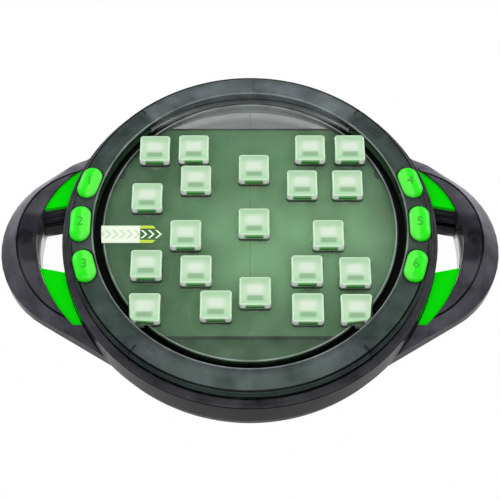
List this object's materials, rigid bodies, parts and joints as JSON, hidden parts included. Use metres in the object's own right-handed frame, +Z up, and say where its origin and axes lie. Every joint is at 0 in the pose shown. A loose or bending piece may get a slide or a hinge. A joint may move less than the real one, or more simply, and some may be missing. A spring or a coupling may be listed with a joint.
{
  "type": "electronic memory game",
  "caption": "Hand-held electronic memory game: round smoke-tinted console with square lit keys on a recessed plate, green mode buttons on the rim and a loop handle on each side.",
  "frame": {"origin": "middle of the base on the table, under the centre of the key plate", "axes": "+X along the handles, +Y towards the rear edge as the player sees it, +Z up out of the key plate"},
  "size_m": [0.2566, 0.19, 0.041],
  "materials": {
    "smoke_shell": "glossy smoke-tinted translucent plastic",
    "dark_smoke_shell": "glossy dark smoke plastic",
    "key_clear": "frosted clear plastic",
    "green_cap": "glossy bright green plastic",
    "sticker": "printed film",
    "board": "green solder resist",
    "lamp": "clear lamp body",
    "silicone": "matte silicone",
    "black_epoxy": "glossy epoxy",
    "capacitor_sleeve": "printed sleeve",
    "steel": "plated steel",
    "speaker_paper": "pressed paper",
    "ferrite": "sintered",
    "wire": "vinyl insulation",
    "cell_jacket": "printed sleeve on a steel can",
    "foot_rubber": "matte"
  },
  "bodies": {
    "console": {"top_housing": "smoke_shell", "bottom_housing": "dark_smoke_shell", "start_label": "sticker", "main_board": "board", "key_lamps": "lamp", "key_boots": "silicone", "button_boots": "silicone", "controller_blob": "black_epoxy", "capacitors": "capacitor_sleeve", "speaker_frame": "steel", "speaker_cone": "speaker_paper", "speaker_magnet": "ferrite", "speaker_wires": "wire", "battery_contacts_left": "steel", "battery_contacts_right": "steel", "battery_wires": "wire", "housing_screws": "steel", "board_screws": "steel", "rubber_feet": "foot_rubber", "grip_insert_left_rear": "green_cap", "grip_insert_left_front": "green_cap", "grip_insert_right_rear": "green_cap", "grip_insert_right_front": "green_cap", "battery_1": "cell_jacket", "battery_2": "cell_jacket", "battery_3": "cell_jacket"},
    "key_01": {"key_01": "key_clear"},
    "key_02": {"key_02": "key_clear"},
    "key_03": {"key_03": "key_clear"},
    "key_04": {"key_04": "key_clear"},
    "key_05": {"key_05": "key_clear"},
    "key_06": {"key_06": "key_clear"},
    "key_07": {"key_07": "key_clear"},
    "key_08": {"key_08": "key_clear"},
    "key_09": {"key_09": "key_clear"},
    "key_10": {"key_10": "key_clear"},
    "key_11": {"key_11": "key_clear"},
    "key_12": {"key_12": "key_clear"},
    "key_13": {"key_13": "key_clear"},
    "key_14": {"key_14": "key_clear"},
    "key_15": {"key_15": "key_clear"},
    "key_16": {"key_16": "key_clear"},
    "key_17": {"key_17": "key_clear"},
    "key_18": {"key_18": "key_clear"},
    "key_19": {"key_19": "key_clear"},
    "key_20": {"key_20": "key_clear"},
    "key_21": {"key_21": "key_clear"},
    "mode_button_left_rear": {"mode_button_left_rear": "green_cap"},
    "mode_button_left_middle": {"mode_button_left_middle": "green_cap"},
    "mode_button_left_front": {"mode_button_left_front": "green_cap"},
    "mode_button_right_rear": {"mode_button_right_rear": "green_cap"},
    "mode_button_right_middle": {"mode_button_right_middle": "green_cap"},
    "mode_button_right_front": {"mode_button_right_front": "green_cap"},
    "battery_cover": {"battery_door": "dark_smoke_shell", "door_screw": "steel"}
  },
  "joints": [
    {"name": "key_01_press", "type": "slide", "parent": "console", "child": "key_01", "axis": [0, 0, -1], "range_m": [0, 0.0018], "stiffness_N_per_m": 400, "springref_m": -0.0006},
    {"name": "key_02_press", "type": "slide", "parent": "console", "child": "key_02", "axis": [0, 0, -1], "range_m": [0, 0.0018], "stiffness_N_per_m": 400, "springref_m": -0.0006},
    {"name": "key_03_press", "type": "slide", "parent": "console", "child": "key_03", "axis": [0, 0, -1], "range_m": [0, 0.0018], "stiffness_N_per_m": 400, "springref_m": -0.0006},
    {"name": "key_04_press", "type": "slide", "parent": "console", "child": "key_04", "axis": [0, 0, -1], "range_m": [0, 0.0018], "stiffness_N_per_m": 400, "springref_m": -0.0006},
    {"name": "key_05_press", "type": "slide", "parent": "console", "child": "key_05", "axis": [0, 0, -1], "range_m": [0, 0.0018], "stiffness_N_per_m": 400, "springref_m": -0.0006},
    {"name": "key_06_press", "type": "slide", "parent": "console", "child": "key_06", "axis": [0, 0, -1], "range_m": [0, 0.0018], "stiffness_N_per_m": 400, "springref_m": -0.0006},
    {"name": "key_07_press", "type": "slide", "parent": "console", "child": "key_07", "axis": [0, 0, -1], "range_m": [0, 0.0018], "stiffness_N_per_m": 400, "springref_m": -0.0006},
    {"name": "key_08_press", "type": "slide", "parent": "console", "child": "key_08", "axis": [0, 0, -1], "range_m": [0, 0.0018], "stiffness_N_per_m": 400, "springref_m": -0.0006},
    {"name": "key_09_press", "type": "slide", "parent": "console", "child": "key_09", "axis": [0, 0, -1], "range_m": [0, 0.0018], "stiffness_N_per_m": 400, "springref_m": -0.0006},
    {"name": "key_10_press", "type": "slide", "parent": "console", "child": "key_10", "axis": [0, 0, -1], "range_m": [0, 0.0018], "stiffness_N_per_m": 400, "springref_m": -0.0006},
    {"name": "key_11_press", "type": "slide", "parent": "console", "child": "key_11", "axis": [0, 0, -1], "range_m": [0, 0.0018], "stiffness_N_per_m": 400, "springref_m": -0.0006},
    {"name": "key_12_press", "type": "slide", "parent": "console", "child": "key_12", "axis": [0, 0, -1], "range_m": [0, 0.0018], "stiffness_N_per_m": 400, "springref_m": -0.0006},
    {"name": "key_13_press", "type": "slide", "parent": "console", "child": "key_13", "axis": [0, 0, -1], "range_m": [0, 0.0018], "stiffness_N_per_m": 400, "springref_m": -0.0006},
    {"name": "key_14_press", "type": "slide", "parent": "console", "child": "key_14", "axis": [0, 0, -1], "range_m": [0, 0.0018], "stiffness_N_per_m": 400, "springref_m": -0.0006},
    {"name": "key_15_press", "type": "slide", "parent": "console", "child": "key_15", "axis": [0, 0, -1], "range_m": [0, 0.0018], "stiffness_N_per_m": 400, "springref_m": -0.0006},
    {"name": "key_16_press", "type": "slide", "parent": "console", "child": "key_16", "axis": [0, 0, -1], "range_m": [0, 0.0018], "stiffness_N_per_m": 400, "springref_m": -0.0006},
    {"name": "key_17_press", "type": "slide", "parent": "console", "child": "key_17", "axis": [0, 0, -1], "range_m": [0, 0.0018], "stiffness_N_per_m": 400, "springref_m": -0.0006},
    {"name": "key_18_press", "type": "slide", "parent": "console", "child": "key_18", "axis": [0, 0, -1], "range_m": [0, 0.0018], "stiffness_N_per_m": 400, "springref_m": -0.0006},
    {"name": "key_19_press", "type": "slide", "parent": "console", "child": "key_19", "axis": [0, 0, -1], "range_m": [0, 0.0018], "stiffness_N_per_m": 400, "springref_m": -0.0006},
    {"name": "key_20_press", "type": "slide", "parent": "console", "child": "key_20", "axis": [0, 0, -1], "range_m": [0, 0.0018], "stiffness_N_per_m": 400, "springref_m": -0.0006},
    {"name": "key_21_press", "type": "slide", "parent": "console", "child": "key_21", "axis": [0, 0, -1], "range_m": [0, 0.0018], "stiffness_N_per_m": 400, "springref_m": -0.0006},
    {"name": "mode_button_left_rear_press", "type": "slide", "parent": "console", "child": "mode_button_left_rear", "axis": [0, 0, -1], "range_m": [0, 0.001], "stiffness_N_per_m": 600, "springref_m": -0.0006},
    {"name": "mode_button_left_middle_press", "type": "slide", "parent": "console", "child": "mode_button_left_middle", "axis": [0, 0, -1], "range_m": [0, 0.001], "stiffness_N_per_m": 600, "springref_m": -0.0006},
    {"name": "mode_button_left_front_press", "type": "slide", "parent": "console", "child": "mode_button_left_front", "axis": [0, 0, -1], "range_m": [0, 0.001], "stiffness_N_per_m": 600, "springref_m": -0.0006},
    {"name": "mode_button_right_rear_press", "type": "slide", "parent": "console", "child": "mode_button_right_rear", "axis": [0, 0, -1], "range_m": [0, 0.001], "stiffness_N_per_m": 600, "springref_m": -0.0006},
    {"name": "mode_button_right_middle_press", "type": "slide", "parent": "console", "child": "mode_button_right_middle", "axis": [0, 0, -1], "range_m": [0, 0.001], "stiffness_N_per_m": 600, "springref_m": -0.0006},
    {"name": "mode_button_right_front_press", "type": "slide", "parent": "console", "child": "mode_button_right_front", "axis": [0, 0, -1], "range_m": [0, 0.001], "stiffness_N_per_m": 600, "springref_m": -0.0006},
    {"name": "battery_door_lift", "type": "slide", "parent": "console", "child": "battery_cover", "axis": [0, 0, -1], "range_m": [0, 0.015]}
  ]
}
